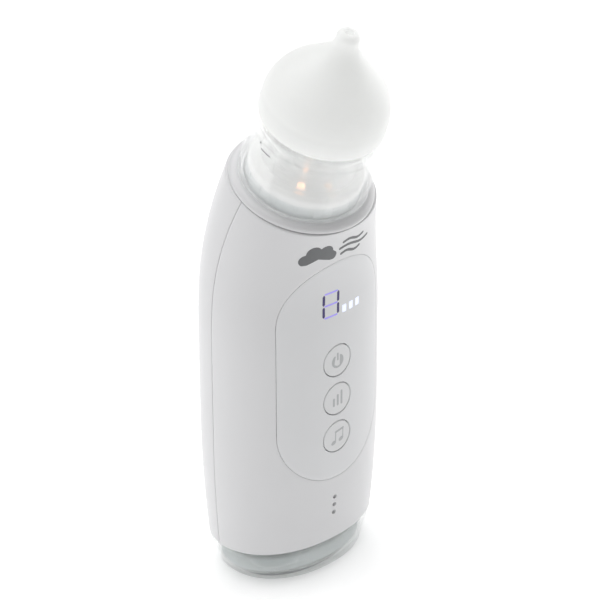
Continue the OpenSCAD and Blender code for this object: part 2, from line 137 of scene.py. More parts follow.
def oval_point(a, b, t):
    return a * signed_power(cos(t), 2 / SQUARENESS), b * signed_power(sin(t), 2 / SQUARENESS)


def body_point(s, t, sink):
    """Point of the handle: s along its centre line, angle t round it, sunk below the surface."""
    x, v = oval_point(width_at(s) - sink, depth_at(s) - sink, t)
    y0, z0 = centre_at(s)
    lean = lean_at(s)
    return Vector((x, y0 + v * cos(lean), z0 + v * sin(lean)))


def front_angle(x, s):
    """Angle round the section, measured from the front's middle, at which the surface is x wide."""
    return asin(signed_power(min(abs(x) / width_at(s), 1.0), SQUARENESS / 2) * (1 if x >= 0 else -1))


def front_at(x, z):
    """(s, angle from the front's middle) of the front's point at x and height z."""
    s = z - SEAM_Z
    for _ in range(8):
        s += z - body_point(s, front_angle(x, s) - pi / 2, 0)[2]
    return s, front_angle(x, s)


def front_point(x, z, sink=0.0):
    """Point of the front at x and height z, sunk below the surface."""
    s, angle = front_at(x, z)
    return body_point(s, angle - pi / 2, sink)


def part_angle(s, v):
    """Angle round the section from the side at which the surface is v deep."""
    return asin((v / depth_at(s)) ** (SQUARENESS / 2))


# ---------------------------------------------------------------- mesh helpers

def make_object(name, verts, faces, smooth=40):
    """Closed mesh from points in millimetres; edges sharper than smooth degrees stay crisp."""
    mesh = bpy.data.meshes.new(name)
    mesh.from_pydata([v * MM for v in verts], [], faces)
    bm = bmesh.new()
    bm.from_mesh(mesh)
    bmesh.ops.remove_doubles(bm, verts=bm.verts, dist=1e-7)
    bmesh.ops.dissolve_degenerate(bm, edges=bm.edges, dist=1e-7)
    bmesh.ops.recalc_face_normals(bm, faces=bm.faces)
    bm.to_mesh(mesh)
    bm.free()
    obj = link_object(name, mesh)
    finish_shading(obj, smooth)
    return obj


def link_object(name, data):
    obj = bpy.data.objects.new(name, data)
    bpy.context.scene.collection.objects.link(obj)
    return obj


def finish_shading(obj, smooth=40):
    """Smooth shading, with edges sharper than smooth degrees kept crisp."""
    mesh = obj.data
    mesh.polygons.foreach_set("use_smooth", [True] * len(mesh.polygons))
    mesh.set_sharp_from_angle(angle=radians(smooth))


def grid_faces(rows, columns, wrap_rows=False, wrap_columns=True):
    """Quads of a grid of points, row after row, joined round where it wraps."""
    faces = []
    for i in range(rows if wrap_rows else rows - 1):
        for j in range(columns if wrap_columns else columns - 1):
            a, b = i * columns, ((i + 1) % rows) * columns
            k = (j + 1) % columns
            faces.append((a + j, a + k, b + k, b + j))
    return faces


def from_rings(name, rings, closed=False, smooth=40):
    """Skin over rings of equal length: closed into a tube loop, or capped at both ends."""
    count = len(rings[0])
    verts = [p for ring in rings for p in ring]
    faces = grid_faces(len(rings), count, wrap_rows=closed)
    if not closed:
        faces.append(tuple(reversed(range(count))))
        faces.append(tuple(range(len(verts) - count, len(verts))))
    return make_object(name, verts, faces, smooth)


def head_point(x, y, w):
    """Point in the head's own frame: w along the leaning axis from the collar's joint."""
    y0, z0 = centre_at(SPINE)
    return Vector((x, y0 + y * cos(TILT) - w * sin(TILT), z0 + y * sin(TILT) + w * cos(TILT)))


def fillet(points, steps=4):
    """Closed outline of (r, w, radius) corners, each rounded by a short curve."""
    result = []
    count = len(points)
    for i, (r, w, radius) in enumerate(points):
        if radius <= 0:
            result.append((r, w))
            continue
        here = Vector((r, w))
        before = Vector(points[i - 1][:2]) - here
        after = Vector(points[(i + 1) % count][:2]) - here
        reach = min(radius, before.length * 0.48, after.length * 0.48)
        a = here + before.normalized() * reach
        b = here + after.normalized() * reach
        for k in range(steps + 1):
            t = k / steps
            result.append(tuple(a * (1 - t) ** 2 + here * 2 * t * (1 - t) + b * t * t))
    return result


def lathe(name, outline, steps=160, place=head_point, smooth=40):
    """Turns a closed outline of (r, w) points round the head's axis."""
    rings = [
        [place(r * cos(2 * pi * k / steps), r * sin(2 * pi * k / steps), w) for k in range(steps)]
        for r, w in outline
    ]
    return from_rings(name, rings, closed=True, smooth=smooth)


def oval_rings(rings, steps=160):
    """Rings of the handle's oval from (half-width, half-depth, z)."""
    return [
        [Vector((*oval_point(a, b, 2 * pi * k / steps), z)) for k in range(steps)]
        for a, b, z in rings
    ]


def cut(obj, *cutters, smooth=40):
    """Subtracts the cutters and bakes the result into obj's mesh."""
    for cutter in cutters:
        tool = obj.modifiers.new("cut", "BOOLEAN")
        tool.object = cutter
        tool.solver = "EXACT"
    graph = bpy.context.evaluated_depsgraph_get()
    mesh = bpy.data.meshes.new_from_object(obj.evaluated_get(graph))
    obj.modifiers.clear()
    obj.data = mesh
    for cutter in cutters:
        bpy.data.objects.remove(cutter)
    finish_shading(obj, smooth)
    return obj


def place_piece(obj, body, slot, material, *replaced):
    """Rides a finished piece on its body with its material and hides the CAD nodes it stands for; its slot
    name is not used.
    """
    obj.data.materials.clear()
    obj.data.materials.append(material)
    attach(obj, body)
    if replaced:
        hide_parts(*replaced)


# ---------------------------------------------------------------- materials

def shader(name, color, roughness, grain=0.0, bump=0.0, scale=900.0, tone=0.02, **sockets):
    """Moulded-surface material: slight tone and gloss variation and a fine bump, all procedural."""
    material = bpy.data.materials.new(name)
    material.use_nodes = True
    nodes, links = material.node_tree.nodes, material.node_tree.links
    bsdf = nodes["Principled BSDF"]
    for key, value in sockets.items():
        bsdf.inputs[key.replace("_", " ")].default_value = value
    place = nodes.new("ShaderNodeTexCoord")
    cloud = nodes.new("ShaderNodeTexNoise")
    cloud.inputs["Scale"].default_value = 60
    cloud.inputs["Detail"].default_value = 3
    links.new(place.outputs["Object"], cloud.inputs["Vector"])
    shades = nodes.new("ShaderNodeValToRGB")
    shades.color_ramp.elements[0].position = 0.35
    shades.color_ramp.elements[1].position = 0.65
    shades.color_ramp.elements[0].color = (*[c * (1 - tone) for c in color], 1)
    shades.color_ramp.elements[1].color = (*[min(c * (1 + tone), 1.0) for c in color], 1)
    links.new(cloud.outputs["Fac"], shades.inputs["Fac"])
    links.new(shades.outputs["Color"], bsdf.inputs["Base Color"])
    fine = nodes.new("ShaderNodeTexNoise")
    fine.inputs["Scale"].default_value = scale
    fine.inputs["Detail"].default_value = 2
    links.new(place.outputs["Object"], fine.inputs["Vector"])
    gloss = nodes.new("ShaderNodeMapRange")
    gloss.inputs["To Min"].default_value = max(roughness - grain, 0.0)
    gloss.inputs["To Max"].default_value = roughness + grain
    links.new(fine.outputs["Fac"], gloss.inputs["Value"])
    links.new(gloss.outputs["Result"], bsdf.inputs["Roughness"])
    if bump:
        relief = nodes.new("ShaderNodeBump")
        relief.inputs["Strength"].default_value = bump
        relief.inputs["Distance"].default_value = 0.0001
        links.new(fine.outputs["Fac"], relief.inputs["Height"])
        links.new(relief.outputs["Normal"], bsdf.inputs["Normal"])
    return material


def lit(material, color, strength):
    """Makes a material glow."""
    bsdf = material.node_tree.nodes["Principled BSDF"]
    bsdf.inputs["Emission Color"].default_value = (*color, 1)
    bsdf.inputs["Emission Strength"].default_value = strength
    return material


def paint_shade_below_rim(material):
    """Painted shade: slightly greyer silicone up to the cup's rim, where it lies over the clear wall."""
    axis = Vector((0, -sin(TILT), cos(TILT)))
    rim = head_point(0, 0, CHAMBER_RIM).dot(axis) * MM
    nodes, links = material.node_tree.nodes, material.node_tree.links
    base = nodes["Principled BSDF"].inputs["Base Color"]
    place = nodes.new("ShaderNodeTexCoord")
    along = nodes.new("ShaderNodeVectorMath")
    along.operation = "DOT_PRODUCT"
    along.inputs[1].default_value = axis
    links.new(place.outputs["Object"], along.inputs[0])
    # below the rim the base colour is scaled down to 0.93: painted shade
    step = nodes.new("ShaderNodeMapRange")
    step.inputs["From Min"].default_value = rim - 0.6 * MM
    step.inputs["From Max"].default_value = rim + 0.9 * MM
    step.inputs["To Min"].default_value = 0.93
    step.inputs["To Max"].default_value = 1.0
    links.new(along.outputs["Value"], step.inputs["Value"])
    scaled = nodes.new("ShaderNodeVectorMath")
    scaled.operation = "SCALE"
    links.new(base.links[0].from_socket, scaled.inputs[0])
    links.new(step.outputs["Result"], scaled.inputs["Scale"])
    links.new(scaled.outputs["Vector"], base)


SHELL = shader("shell_white", (0.755, 0.755, 0.765), 0.34, grain=0.05, bump=0.04, tone=0.006,
               IOR=1.47, Coat_Weight=0.12, Coat_Roughness=0.12)
PANEL = shader("panel_white", (0.775, 0.78, 0.79), 0.4, grain=0.05, bump=0.05, tone=0.006, IOR=1.47)
BUTTON = shader("button_white", (0.77, 0.775, 0.78), 0.36, grain=0.05, bump=0.05, tone=0.008, IOR=1.47)
ICON = shader("icon_grey", (0.5, 0.51, 0.52), 0.5, grain=0.05, bump=0.05)
MARK = shader("mark_grey", (0.145, 0.15, 0.155), 0.45, grain=0.05, bump=0.05)
# The clear plastic glows faintly: painted light that stands in for the haze of light passing through it.
CLEAR = lit(shader("clear_plastic", (0.98, 0.985, 0.98), 0.05, grain=0.02, bump=0.02, scale=300, tone=0.003,
                   IOR=1.4, Transmission_Weight=0.65, Alpha=0.32), (0.98, 1, 1), 0.11)
# The clear foot glows faintly: painted light that lifts the shade along its lower edge by the table.
FOOT_CLEAR = lit(shader("foot_clear_plastic", (0.97, 0.985, 0.98), 0.06, grain=0.02, bump=0.02, scale=300,
                        tone=0.003, IOR=1.4, Transmission_Weight=0.7, Alpha=0.28), (0.98, 1, 1), 0.05)
# The silicone glows faintly: painted light for light passing through it, on top of its real frosted
# translucency.
SILICONE = lit(shader("silicone_frosted_glowing", (0.78, 0.79, 0.78), 0.42, grain=0.06, bump=0.06, tone=0.01,
                      IOR=1.41, Transmission_Weight=0.1, Subsurface_Weight=0.7, Subsurface_Scale=0.012,
                      Subsurface_Radius=(1, 1, 1)), (1, 1, 0.98), 0.15)
# painted shade on the silicone below the cup's rim
paint_shade_below_rim(SILICONE)
SEAL = shader("seal_rubber", (0.35, 0.36, 0.37), 0.6, grain=0.1, bump=0.2)
BLACK_RUBBER = shader("black_rubber", (0.03, 0.03, 0.03), 0.7, grain=0.1, bump=0.2)
NECK = shader("neck_grey", (0.62, 0.66, 0.665), 0.35, grain=0.06, bump=0.08, tone=0.04)
BAND = shader("band_grey", (0.44, 0.49, 0.49), 0.5, grain=0.08, bump=0.08, tone=0.03)
BOARD = shader("board_green", (0.03, 0.16, 0.08), 0.4, grain=0.1, bump=0.15, tone=0.1)
BLACK_PLASTIC = shader("black_plastic", (0.03, 0.03, 0.035), 0.5, grain=0.1, bump=0.2)
FRAME_PLASTIC = shader("frame_plastic", (0.5, 0.51, 0.52), 0.55, grain=0.1, bump=0.15)
PUMP_GREY = shader("pump_grey", (0.1, 0.105, 0.11), 0.5, grain=0.1, bump=0.15)
PALE_PLASTIC = shader("pale_plastic", (0.7, 0.67, 0.58), 0.5, grain=0.1, bump=0.15)
CELL_FOIL = shader("cell_foil", (0.16, 0.22, 0.33), 0.4, grain=0.15, bump=0.3, scale=250, tone=0.08)
STEEL = shader("steel", (0.6, 0.6, 0.61), 0.3, grain=0.1, bump=0.08, Metallic=1.0)
MAGNET = shader("magnet", (0.05, 0.05, 0.055), 0.6, grain=0.1, bump=0.3, tone=0.1)
COPPER = shader("copper", (0.7, 0.35, 0.15), 0.35, grain=0.1, bump=0.4, scale=500, Metallic=1.0)
FOAM = shader("foam", (0.3, 0.29, 0.26), 0.95, grain=0.04, bump=0.9, scale=700, tone=0.15)
FIGURE = lit(shader("figure_dark", (0.03, 0.02, 0.09), 0.3, grain=0.05, bump=0.03),
             (0.25, 0.18, 0.9), 0.06)
FIGURE_EDGE = lit(shader("figure_violet", (0.3, 0.26, 0.7), 0.3, grain=0.05, bump=0.03),
                  (0.42, 0.34, 1.0), 0.32)
BARS = lit(shader("bars_white", (0.8, 0.85, 1.0), 0.3, grain=0.05, bump=0.03),
           (0.72, 0.78, 1.0), 0.45)
DECK = shader("deck_white", (0.9, 0.9, 0.895), 0.4, grain=0.06, bump=0.05, tone=0.01)
AMBER_DIM = lit(shader("amber_lens_dim", (0.85, 0.72, 0.62), 0.25, grain=0.05, bump=0.03),
                (1.0, 0.5, 0.25), 0.5)
AMBER = lit(shader("amber_lens", (0.95, 0.6, 0.35), 0.25, grain=0.05, bump=0.03),
            (1.0, 0.5, 0.28), 2.6)


# ---------------------------------------------------------------- shells

def stadium_outline(r, z0, z1):
    """Points round a stadium from the lower right: right side, top cap, left side, bottom cap."""
    low, high = z0 + r, z1 - r
    straight, cap = STADIUM_STRAIGHT, STADIUM_CAP
    points = [(r, low + (high - low) * i / straight) for i in range(straight)]
    points += [(r * cos(pi * i / cap), high + r * sin(pi * i / cap)) for i in range(cap)]
    points += [(-r, high - (high - low) * i / straight) for i in range(straight)]
    points += [(-r * cos(pi * i / cap), low - r * sin(pi * i / cap)) for i in range(cap)]
    return points


def front_border(corner=14):
    """Border points (s, side from -1 to 1) of the front shell, one for each stadium point."""
    straight, cap = STADIUM_STRAIGHT, STADIUM_CAP
    low, high = SEAM_GAP, SPINE - SEAM_GAP
    window_low, window_high = PANEL_Z0 + PANEL_R - SEAM_Z, PANEL_Z1 - PANEL_R - SEAM_Z
    up = [window_low + (window_high - window_low) * i / straight for i in range(straight)]
    up += [window_high + (high - window_high) * i / corner for i in range(corner + 1)]
    over = [1 - 2 * i / (cap - 2 * corner) for i in range(1, cap - 2 * corner)]
    start = [low + (window_low - low) * i / corner for i in range(corner)]
    right = [(s, 1.0) for s in up]
    top = [(high, side) for side in over]
    left = [(s, -1.0) for s in reversed(up)] + [(s, -1.0) for s in reversed(start)]
    bottom = [(low, -side) for side in over]
    return right + top + left + bottom + [(s, 1.0) for s in start]


def build_front_shell():
    """Front half: lines run from the panel's window out to the joint, then back along the inside."""
    window = stadium_outline(PANEL_R, PANEL_Z0, PANEL_Z1)
    out_steps = 30
    in_steps = 8
    meridians = []
    for (x, z), (border_s, side) in zip(window, front_border()):
        s0, a0 = front_at(x, z)
        border_a = side * (pi / 2 + part_angle(border_s, PART_Y - SEAM_GAP))
        reach = max(sqrt((border_s - s0) ** 2 + (20 * (border_a - a0)) ** 2), 1.0)

        def at(f, sink):
            return body_point(s0 + (border_s - s0) * f, a0 + (border_a - a0) * f - pi / 2, sink)

        inner, outer = PANEL_EDGE / reach, EDGE / reach
        line = [at(0, WALL), at(0, PANEL_EDGE), at(inner * 0.3, PANEL_EDGE * 0.3), at(inner, 0)]
        line += [at(inner + (1 - inner - outer) * i / out_steps, 0) for i in range(1, out_steps)]
        line += [at(1 - outer, 0), at(1 - outer * 0.3, EDGE * 0.3), at(1, EDGE), at(1, WALL)]
        line += [at(1 - i / in_steps, WALL) for i in range(1, in_steps)]
        meridians.append(line)
    count = len(meridians[0])
    verts = [p for line in meridians for p in line]
    faces = grid_faces(len(meridians), count, wrap_rows=True)
    shell = make_object("front_shell_skin", verts, faces)
    profile = ((0.85, -0.5), (0.72, 0), (0.6, 0.15), (0.6, 4))
    holes = [
        from_rings("sound_hole_cutter_%d" % k, front_rings(z, profile, 40))
        for k, z in enumerate(SOUND_HOLE_Z)
    ]
    return cut(shell, *holes)


def shell_grid(name, s_rows, angle_rows, wall):
    """Closed shell over a grid of s and angle functions, with soft edges on all four sides."""
    sinks_s = [EDGE, EDGE * 0.3] + [0] * (len(s_rows) - 4) + [EDGE * 0.3, EDGE]
    outer, inner = [], []
    columns = len(angle_rows(s_rows[0]))
    sinks_a = [EDGE, EDGE * 0.3] + [0] * (columns - 4) + [EDGE * 0.3, EDGE]
    for s, sink_s in zip(s_rows, sinks_s):
        angles = angle_rows(s)
        outer.append([body_point(s, a, max(sink_s, sink_a)) for a, sink_a in zip(angles, sinks_a)])
        inner.append([body_point(s, a, wall) for a in angles])
    rings = [row + list(reversed(back)) for row, back in zip(outer, inner)]
    return from_rings(name, rings)


def soft_steps(low, high, count, lip):
    """Values from low to high with two extra ones close to each end for a soft edge."""
    inner = [low + lip + (high - low - 2 * lip) * i / count for i in range(count + 1)]
    return [low, low + lip * 0.3] + inner + [high - lip * 0.3, high]


def port_height():
    """Height of the charging port's centre, just below that of its cover."""
    low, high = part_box("usb_cover")
    return (low[2] + high[2]) / 2 / MM - 0.15


def build_rear_shell():
    steps = 110
    rows = soft_steps(SEAM_GAP, SPINE - SEAM_GAP, steps, EDGE)

    def angles(s):
        turn = part_angle(s, PART_Y)
        return soft_steps(turn, pi - turn, steps, EDGE / HALF_W)

    shell = shell_grid("rear_shell_skin", rows, angles, WALL)
    port_z = port_height()
    pocket = rounded_block("pocket_cutter", 14.8, 9.8, 1.4, 17.0, 26.0, port_z)
    window = rounded_block("port_cutter", 11.4, 5.2, 2.6, 10.0, 18.0, port_z)
    return cut(shell, pocket, window)


def rounded_rectangle(w, h, radius, steps=8):
    """Points of a rectangle about the origin with round corners."""
    points = []
    for k, (sx, sz) in enumerate(((1, 1), (-1, 1), (-1, -1), (1, -1))):
        for i in range(steps + 1):
            a = pi / 2 * (k + i / steps)
            points.append((sx * (w / 2 - radius) + radius * cos(a), sz * (h / 2 - radius) + radius * sin(a)))
    return points


def rounded_block(name, w, h, radius, y0, y1, z, soft=0.0):
    """Rounded rectangle facing the back, from y0 to y1, with a soft outer edge."""
    rows = [(0, y0), (0, y1)]
    if soft:
        rows = [(soft, y0), (soft * 0.3, y0 + soft * 0.3), (0, y0 + soft)]
        rows += [(0, y1 - soft), (soft * 0.3, y1 - soft * 0.3), (soft, y1)]
    rings = []
    for inset, y in rows:
        outline = rounded_rectangle(w - 2 * inset, h - 2 * inset, max(radius - inset, 0.1))
        rings.append([Vector((px, y, z + pz)) for px, pz in outline])
    return from_rings(name, rings)


# ---------------------------------------------------------------- panel, buttons, prints

def build_panel():
    """Stadium-shaped plate that follows the front, with three button holes."""
    r = PANEL_R - PANEL_GAP
    z0, z1 = PANEL_Z0 + PANEL_GAP, PANEL_Z1 - PANEL_GAP
    outline = stadium_outline(r, z0, z1)
    rows = 22

    def middle(z):
        return min(max(z, z0 + r), z1 - r)

    def ring(f, sink):
        return [front_point(x * f, middle(z) + (z - middle(z)) * f, sink) for x, z in outline]

    lip = PANEL_EDGE / r
    rings = [ring(0.04, 0)]
    rings += [ring(0.04 + (1 - lip - 0.04) * i / rows, 0) for i in range(1, rows + 1)]
    rings += [ring(1 - lip * 0.3, PANEL_EDGE * 0.3), ring(1, PANEL_EDGE)]
    rings += [ring(1, PANEL_T), ring(0.5, PANEL_T)]
    count = len(outline)
    verts = [p for row in rings for p in row]
    faces = grid_faces(len(rings), count)
    # close the slim middle strip across the centre line, on both faces
    straight, cap = STADIUM_STRAIGHT, STADIUM_CAP
    for base in (0, len(verts) - count):
        for i in range(straight):
            across = 2 * straight + cap - i
            faces.append((base + i, base + i + 1, base + across - 1, base + across % count))
        faces.append(tuple(base + straight + i for i in range(cap + 1)))
        faces.append(tuple(base + (2 * straight + cap + i) % count for i in range(cap + 1)))
    panel = make_object("control_panel_skin", verts, faces)
    cutters = []
    for k, z in enumerate(BUTTON_Z):
        hole_r = BUTTON_R + BUTTON_GAP
        profile = ((hole_r + 0.3, -0.4), (hole_r + 0.14, 0), (hole_r, 0.16), (hole_r, 3))
        cutters.append(from_rings("button_cutter_%d" % k, front_rings(z, profile, 96)))
    return cut(panel, *cutters)


def front_rings(z, profile, steps):
    """Rings of (radius, sink) on the front's surface round the point at height z."""
    turns = [2 * pi * i / steps for i in range(steps)]
    return [[front_point(r * cos(a), z + r * sin(a), sink) for a in turns] for r, sink in profile]


def build_button(name, z):
    """Cap with a soft edge, a flange behind the panel and a stem that reaches the plunger."""
    edge = 0.3
    flange_r, stem_r, stem_y = 5.3, 1.5, -15.1
    turns = [pi / 2 * i / 5 for i in range(6)]
    profile = [(BUTTON_R * f, BUTTON_SINK) for f in (0.06, 0.25, 0.5, 0.75, 0.9)]
    profile += [(BUTTON_R - edge + edge * sin(a), BUTTON_SINK + edge * (1 - cos(a))) for a in turns]
    profile += [(BUTTON_R, 2.4), (flange_r, 2.4), (flange_r, 3.0), (stem_r, 3.0)]
    rings = front_rings(z, profile, 96)
    rings.append([Vector((p[0], stem_y, p[2])) for p in rings[-1]])
    return from_rings(name, rings)


def print_on_front(name, outline, sink, thickness=0.25):
    """Thin inlay whose face follows the front. The outline's (x, z) points run round one shape."""
    fine = []
    longest = 0.5
    for i, (x, z) in enumerate(outline):
        x2, z2 = outline[(i + 1) % len(outline)]
        pieces = max(int(sqrt((x2 - x) ** 2 + (z2 - z) ** 2) / longest), 1)
        fine += [(x + (x2 - x) * k / pieces, z + (z2 - z) * k / pieces) for k in range(pieces)]
    bm = bmesh.new()
    verts = [bm.verts.new((x, 0, z)) for x, z in fine]
    bm.faces.new(verts)
    bmesh.ops.triangulate(bm, faces=bm.faces)
    bm.verts.index_update()
    triangles = [tuple(v.index for v in face.verts) for face in bm.faces]
    bm.free()
    count = len(fine)
    face = [front_point(x, z, sink) for x, z in fine]
    back = [front_point(x, z, sink + thickness) for x, z in fine]
    faces = triangles + [tuple(count + i for i in reversed(t)) for t in triangles]
    faces += [(i, (i + 1) % count, count + (i + 1) % count, count + i) for i in range(count)]
    return make_object(name, face + back, faces)


def join(name, parts):
    """One object from several, each a closed solid of its own."""
    bm = bmesh.new()
    for part in parts:
        bm.from_mesh(part.data)
        bpy.data.objects.remove(part)
    mesh = bpy.data.meshes.new(name)
    bm.to_mesh(mesh)
    bm.free()
    obj = link_object(name, mesh)
    finish_shading(obj)
    return obj


def band(points, half):
    """Outline of a stroke of half-width half along points, with round ends."""
    left, right = [], []
    for i, (x, z) in enumerate(points):
        x0, z0 = points[max(i - 1, 0)]
        x1, z1 = points[min(i + 1, len(points) - 1)]
        length = sqrt((x1 - x0) ** 2 + (z1 - z0) ** 2)
        nx, nz = -(z1 - z0) / length * half, (x1 - x0) / length * half
        left.append((x + nx, z + nz))
        right.append((x - nx, z - nz))

    def end(point, direction):
        turns = [direction + pi / 2 - pi * k / 6 for k in range(1, 6)]
        return [(point[0] + half * cos(a), point[1] + half * sin(a)) for a in turns]

    last = atan2(points[-1][1] - points[-2][1], points[-1][0] - points[-2][0])
    first = atan2(points[0][1] - points[1][1], points[0][0] - points[1][0])
    return left + end(points[-1], last) + list(reversed(right)) + end(points[0], first)


def arc(x, z, r, a0, a1, steps=24):
    """Points of a round arc about (x, z) from a0 to a1 degrees."""
    turns = [radians(a0 + (a1 - a0) * i / steps) for i in range(steps + 1)]
    return [(x + r * cos(a), z + r * sin(a)) for a in turns]


def icon(name, z, strokes):
    """Icon printed on a button's face from (points, half-width) strokes or filled outlines."""
    parts = []
    for k, (points, half) in enumerate(strokes):
        outline = [(x, z + dz) for x, dz in (band(points, half) if half else points)]
        parts.append(print_on_front("%s_%d" % (name, k), outline, BUTTON_SINK + PRINT_SINK, PRINT_T))
    return join(name, parts)


def ellipse(x, z, a, b, turn, steps=24):
    """Points of an ellipse about (x, z) with half-axes a and b, turned by turn degrees."""
    c, s = cos(radians(turn)), sin(radians(turn))
    points = [(a * cos(2 * pi * i / steps), b * sin(2 * pi * i / steps)) for i in range(steps)]
    return [(x + u * c - v * s, z + u * s + v * c) for u, v in points]


POWER_ICON = [(arc(0, -0.15, 1.75, 125, 415, 40), 0.3), ([(0, 0.3), (0, 2.1)], 0.28)]
LEVEL_ICON = [([(x, -1.75), (x, top)], 0.34) for x, top in ((-1.35, 0.15), (0, 1.05), (1.35, 1.95))]
MUSIC_ICON = [
    (ellipse(-1.25, -1.7, 0.85, 0.62, 25), 0),
    (ellipse(1.35, -1.25, 0.85, 0.62, 25), 0),
    ([(-0.6, -1.6), (-0.6, 1.6)], 0.16),
    ([(2.0, -1.15), (2.0, 2.1)], 0.16),
    ([(-0.6, 1.5), (2.0, 2.0)], 0.32),
]


def cloud(x0, z0, floor, lobes, steps=96):
    """Outline of overlapping round lobes (x, z, r), cut level at floor, seen from (x0, z0)."""
    outline = []
    for i in range(steps):
        dx, dz = cos(2 * pi * i / steps), sin(2 * pi * i / steps)
        reach = 0.0
        for x, z, r in lobes:
            along = (x - x0) * dx + (z - z0) * dz
            off = (x - x0) * dz - (z - z0) * dx
            if abs(off) < r:
                reach = max(reach, along + sqrt(r * r - off * off))
        if dz < 0:
            reach = min(reach, (floor - z0) / dz)
        outline.append((x0 + reach * dx, z0 + reach * dz))
    return outline


def breeze(x0, x1, z, rise=0.45, steps=24):
    """Wavy stroke that rises and falls once between x0 and x1."""
    return [(x0 + (x1 - x0) * i / steps, z + rise * sin(2 * pi * i / steps)) for i in range(steps + 1)]


def build_mark():
    """Generic mark between the collar and the panel: a cloud and three breeze strokes."""
    lobes = [(-11.2, 102.0, 1.7), (-9.2, 103.9, 2.0), (-5.9, 103.4, 2.1), (-3.9, 101.8, 1.5)]
    parts = [print_on_front("cloud", cloud(-7.8, 101.7, 100.5, lobes), PRINT_SINK, PRINT_T)]
    for k, (x0, x1, z) in enumerate(((-0.6, 6.6, 105.0), (-1.4, 9.2, 103.1), (-0.6, 6.0, 101.2))):
        parts.append(print_on_front("breeze_%d" % k, band(breeze(x0, x1, z), 0.42), PRINT_SINK, PRINT_T))
    return join("breeze_mark", parts)


def figure_strokes():
    """Seven strokes of the figure as outlines, level ones and upright ones apart."""
    x0, z0, width, height = -5.2, FIGURE_Z, 5.6, 8.0
    stroke = 0.8
    gap = 0.12
    across, up = width - stroke, (height - stroke) / 2
    corner_x, corner_z = x0 + stroke / 2, z0 + stroke / 2

    def hexagon(length, half):
        far = length - half
        return [(0, 0), (half, -half), (far, -half), (length, 0), (far, half), (half, half)]

    level_shape = hexagon(across - 2 * gap, stroke * 0.32)
    upright_shape = hexagon(up - 2 * gap, stroke / 2)
    level = [[(corner_x + gap + u, corner_z + k * up + v) for u, v in level_shape] for k in range(3)]
    upright = [
        [(corner_x + side * across - v, corner_z + k * up + gap + u) for u, v in upright_shape]
        for side in (0, 1) for k in range(2)
    ]
    return level, upright


def build_display():
    """The lit figure's upright strokes and level strokes, and the three level bars."""
    level, upright = figure_strokes()
    proud = -0.008
    dark = [print_on_front("stroke_tall_%d" % k, outline, proud) for k, outline in enumerate(upright)]
    bright = [print_on_front("stroke_level_%d" % k, outline, proud) for k, outline in enumerate(level)]
    bars = []
    for k in range(3):
        x, z = 2.25 + 2.5 * k, FIGURE_Z + 1.2
        outline = [(x + px, z + pz) for px, pz in rounded_rectangle(1.45, 2.2, 0.25, 4)]
        bars.append(print_on_front("bar_%d" % k, outline, proud))
    return join("figure_uprights", dark), join("figure_levels", bright), join("level_bars", bars)


# ---------------------------------------------------------------- head

def build_collar():
    """Ring that closes the top of the shells, with a rounded shoulder and a spigot below."""
    spigot_r = HALF_D - 1.95
    outline = [(15.7, 1.7, 0.15), (15.7, -1.4, 0), (16.4, -1.4, 0), (16.4, -4, 0), (spigot_r, -4, 0)]
    outline += [(spigot_r, 0.1, 0), (HALF_D - 0.1, 0.1, 0.12)]
    turns = [pi / 2 * i / 12 for i in range(13)]
    outline += [(HALF_D - 2 + 1.9 * cos(a), 0.3 + 1.4 * sin(a), 0) for a in turns]
    return lathe("collar_ring", fillet(outline))


def build_neck():
    """White deck under the cup, and the ribbed grey band that the cup's skirt slides over."""
    deck = [
        (1.2, -9, 0.1), (1.9, -9, 0.1), (1.9, -3.8, 0), (4, -3.8, 0), (4, 5.6, 0), (13.8, 5.6, 0),
        (13.8, 5, 0), (15.4, 5, 0), (15.4, 7.1, 0.8), (4, 7.1, 0.3), (4, 9.6, 0.1),
        (3.3, 9.6, 0.05), (3.3, 10.8, 0.05), (4, 10.8, 0.1), (4, 12, 0.3), (1.2, 12, 0.2),
    ]
    ring = [(13.8, 5, 0), (13.8, -3, 0), (16.2, -3, 0), (16.2, -1.5, 0), (15.4, -1.5, 0), (15.4, 5, 0)]
    parts = [lathe("neck_band_turned", fillet(ring))]
    ribs = 18
    for k in range(ribs):
        turn = 2 * pi * k / ribs
        rings = []
        for w, inset in ((2.2, 0.2), (2.4, 0.0), (4.7, 0.0), (4.95, 0.2)):
            side, crest = 15.6 - inset, 15.7 - inset
            corners = [(15.1, -0.38), (side, -0.3), (crest, 0), (side, 0.3), (15.1, 0.38)]
            rings.append([
                head_point(r * cos(turn) - t * sin(turn), r * sin(turn) + t * cos(turn), w)
                for r, t in corners
            ])
        parts.append(from_rings("rib_%d" % k, rings))
    return lathe("neck_deck", fillet(deck)), join("neck_band", parts)


def build_lamp(name, angle):
    """One domed lamp, standing on the lamp board."""
    circle_r, lamp_r, dome_w = 9.5, 1.5, 6.1
    steps = 40
    x, y = circle_r * cos(radians(angle)), circle_r * sin(radians(angle))
    turns = [radians(a) for a in range(10, 85, 10)]
    profile = [(lamp_r - 0.08, 5.05), (lamp_r, 5.15), (lamp_r, dome_w)]
    profile += [(lamp_r * cos(a), dome_w + lamp_r * sin(a)) for a in turns]
    around = [2 * pi * k / steps for k in range(steps)]
    rings = [[head_point(x + r * cos(a), y + r * sin(a), w) for a in around] for r, w in profile]
    return from_rings(name, rings)


